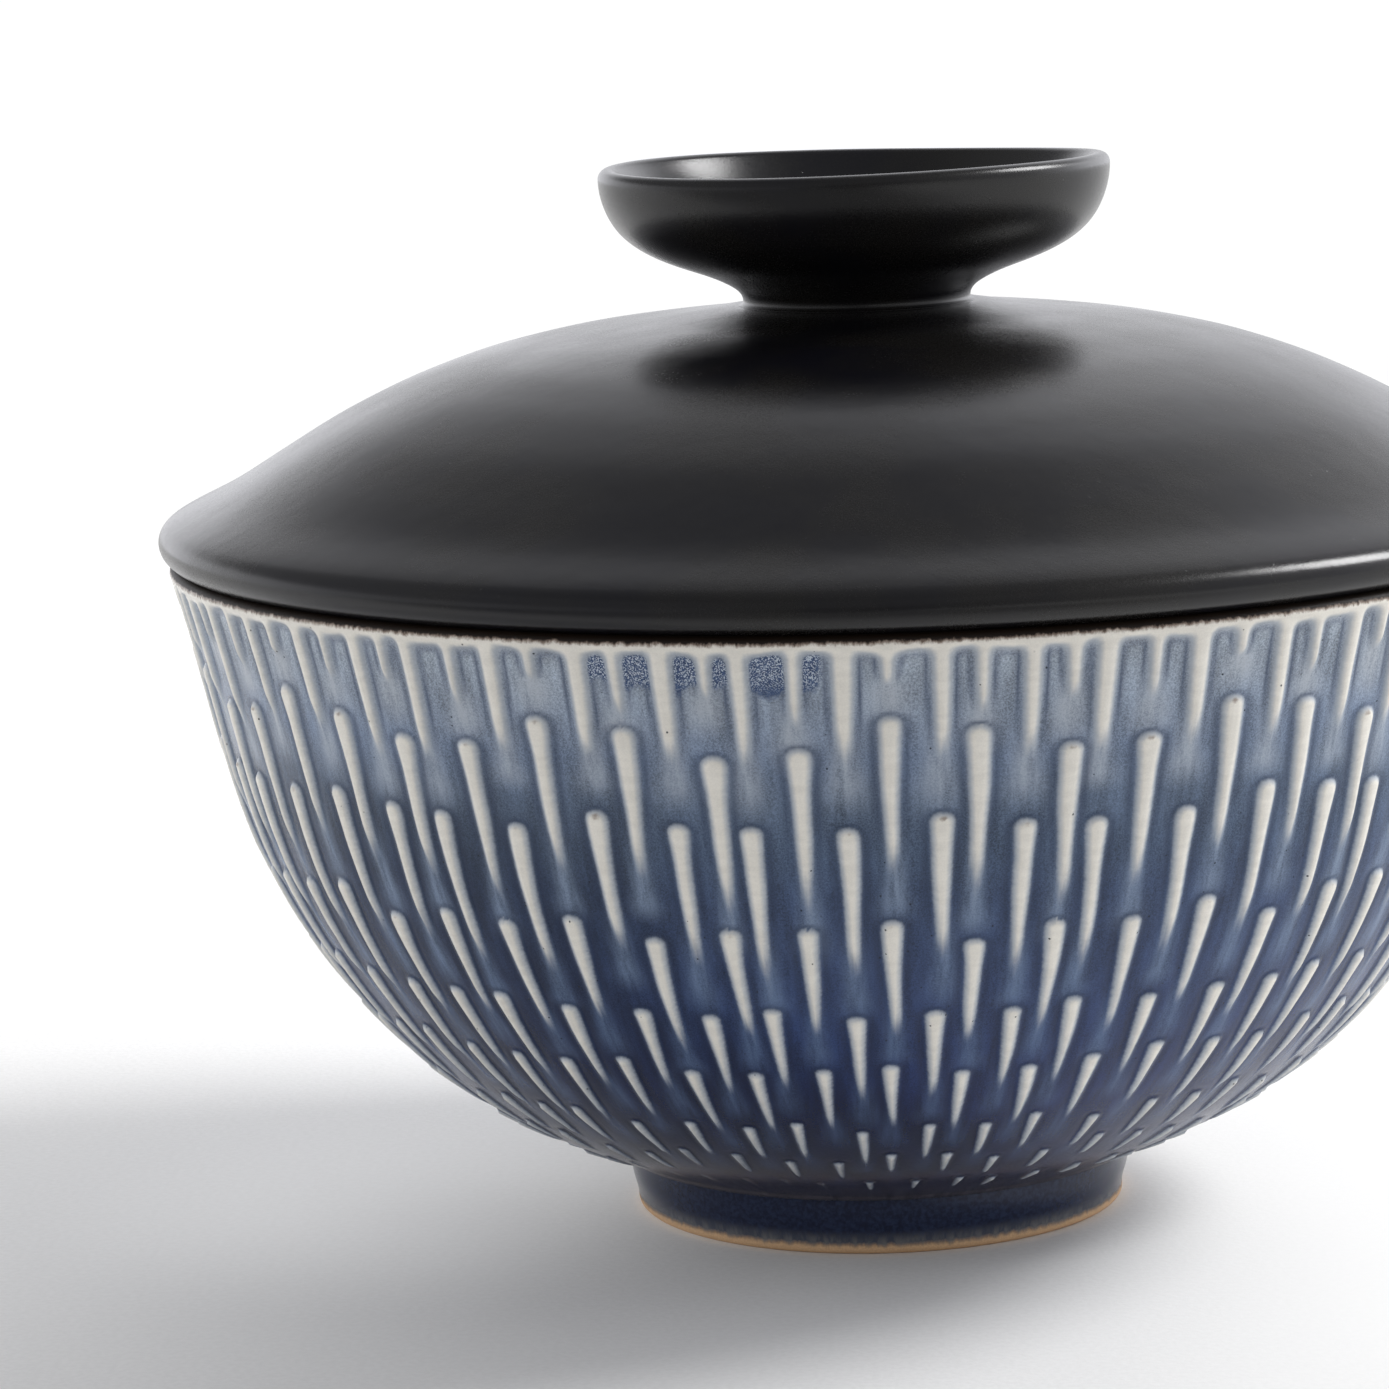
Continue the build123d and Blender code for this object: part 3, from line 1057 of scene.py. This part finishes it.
# How far the soft boxes are from the point they face, how high that point is, and half the
# floor's width, in metres
LIGHT_DISTANCE, LIGHT_AIM = 1.7, 0.08
FLOOR_HALF = 3.0
# Strength of the surroundings low down and high up: azimuth, strength
LOW_ROUND = (
    (-180, 0.14),
    (-90, 0.82),
    (-35, 1.75),
    (10, 1.20),
    (50, 2.55),
    (95, 0.78),
    (180, 0.14),
)
HIGH_ROUND = (
    (-180, 0.28),
    (-90, 0.42),
    (-35, 0.26),
    (10, 1.35),
    (50, 0.25),
    (95, 0.52),
    (180, 0.28),
)
ROUND_TOP = 3.0
# Strength overhead, what is added towards the key light, and the white that the camera sees
OVERHEAD = 0.25
KEY_GLOW = 0.05
SEEN_WHITE = 1.05


def towards_light(azimuth, elevation):
    turn, lift = math.radians(azimuth), math.radians(elevation)
    flat = math.cos(lift)
    return Vector((math.sin(turn) * flat, math.cos(turn) * flat, math.sin(lift)))


def make_world():
    """Soft surroundings whose strength changes round the horizon, in a low band and a high one.
    The camera itself sees plain white."""
    n = Nodes("studio", "worlds")
    look = n.node("ShaderNodeTexCoord", output="Generated")
    x, y, z = n.parts(look)
    turn = n.math("MULTIPLY_ADD", n.math("ARCTAN2", x, y), 0.5 / math.pi, 0.5)
    # a colour ramp holds values up to 1, so strengths go through it as shares of ROUND_TOP
    low, high = (
        n.ramp(turn, [(0.5 + place / 360, (value / ROUND_TOP,) * 3) for place, value in stops])
        for stops in (LOW_ROUND, HIGH_ROUND)
    )
    up = n.rise(n.add(z, n.times(n.math("MAXIMUM", x, 0.0), -0.25)), 0.20, 0.42)
    overhead = n.rise(z, 0.72, 0.92)
    strength = n.add(n.times(low, n.less(up)), n.times(high, n.times(up, n.less(overhead))))
    strength = n.add(n.times(strength, ROUND_TOP), n.times(overhead, OVERHEAD))
    towards = n.vector("DOT_PRODUCT", look, towards_light(*KEY[:2]), "Value")
    strength = n.add(strength, n.times(n.rise(towards, 0.45, 0.95), KEY_GLOW))
    seen = n.node("ShaderNodeLightPath", output="Is Camera Ray")
    strength = n.add(n.times(strength, n.less(seen)), n.times(seen, SEEN_WHITE))
    tint = (0.975, 0.98, 1.02, 1)
    background = n.node("ShaderNodeBackground", {"Color": tint, "Strength": strength})
    n.node("ShaderNodeOutputWorld", {"Surface": background}, output=None)
    bpy.context.scene.world = n.owner


def add_light(name, azimuth, elevation, power, wide, high, glossy):
    """A soft box facing the object."""
    data = bpy.data.lights.new(name, "AREA")
    data.shape, data.energy = "ELLIPSE" if glossy else "RECTANGLE", power
    data.size, data.size_y = wide, high
    light = bpy.data.objects.new(name, data)
    towards = towards_light(azimuth, elevation)
    light.location = towards * LIGHT_DISTANCE + Vector((0, 0, LIGHT_AIM))
    light.rotation_euler = towards.to_track_quat("Z", "Y").to_euler()
    light.visible_glossy = glossy
    bpy.context.scene.collection.objects.link(light)


def make_studio():
    make_world()
    bpy.context.scene.view_settings.view_transform = "Standard"
    mesh = bpy.data.meshes.new("floor")
    corners = [(x * FLOOR_HALF, y * FLOOR_HALF, 0) for x, y in ((-1, -1), (1, -1), (1, 1), (-1, 1))]
    mesh.from_pydata(corners, [], [(0, 1, 2, 3)])
    mesh.materials.append(floor_paper())
    floor = bpy.data.objects.new("floor", mesh)
    bpy.context.scene.collection.objects.link(floor)
    add_light("key", *KEY)
    for name, fill in FILLS.items():
        add_light(name, *fill)


# The camera: place in metres, degrees it looks down, turns left and rolls, and its lens
CAMERA_PLACE = (0, -0.8569, 0.2223)
CAMERA_DOWN, CAMERA_LEFT, CAMERA_ROLL = 9.10, 1.905, -1.856
CAMERA_LENS, CAMERA_SENSOR = 136.5, 36.0


def make_camera():
    """Low and in front, aimed a little left of the object's middle and slightly rolled."""
    data = bpy.data.cameras.new("camera")
    data.lens, data.sensor_width = CAMERA_LENS, CAMERA_SENSOR
    camera = bpy.data.objects.new("camera", data)
    pitch, turn, roll = (math.radians(a) for a in (CAMERA_DOWN, CAMERA_LEFT, CAMERA_ROLL))
    flat = math.cos(pitch)
    ahead = Vector((-math.sin(turn) * flat, math.cos(turn) * flat, -math.sin(pitch)))
    level = Vector((math.cos(turn), math.sin(turn), 0))
    above = level.cross(ahead)
    right = math.cos(roll) * level + math.sin(roll) * above
    up = math.cos(roll) * above - math.sin(roll) * level
    spin = Matrix((right, up, -ahead)).transposed()
    camera.matrix_world = Matrix.Translation(CAMERA_PLACE) @ spin.to_4x4()
    bpy.context.scene.collection.objects.link(camera)
    bpy.context.scene.camera = camera


make_camera()
make_studio()
make_bowl()
make_foot_ring()
make_lid()
make_lid_flange()
make_knob()
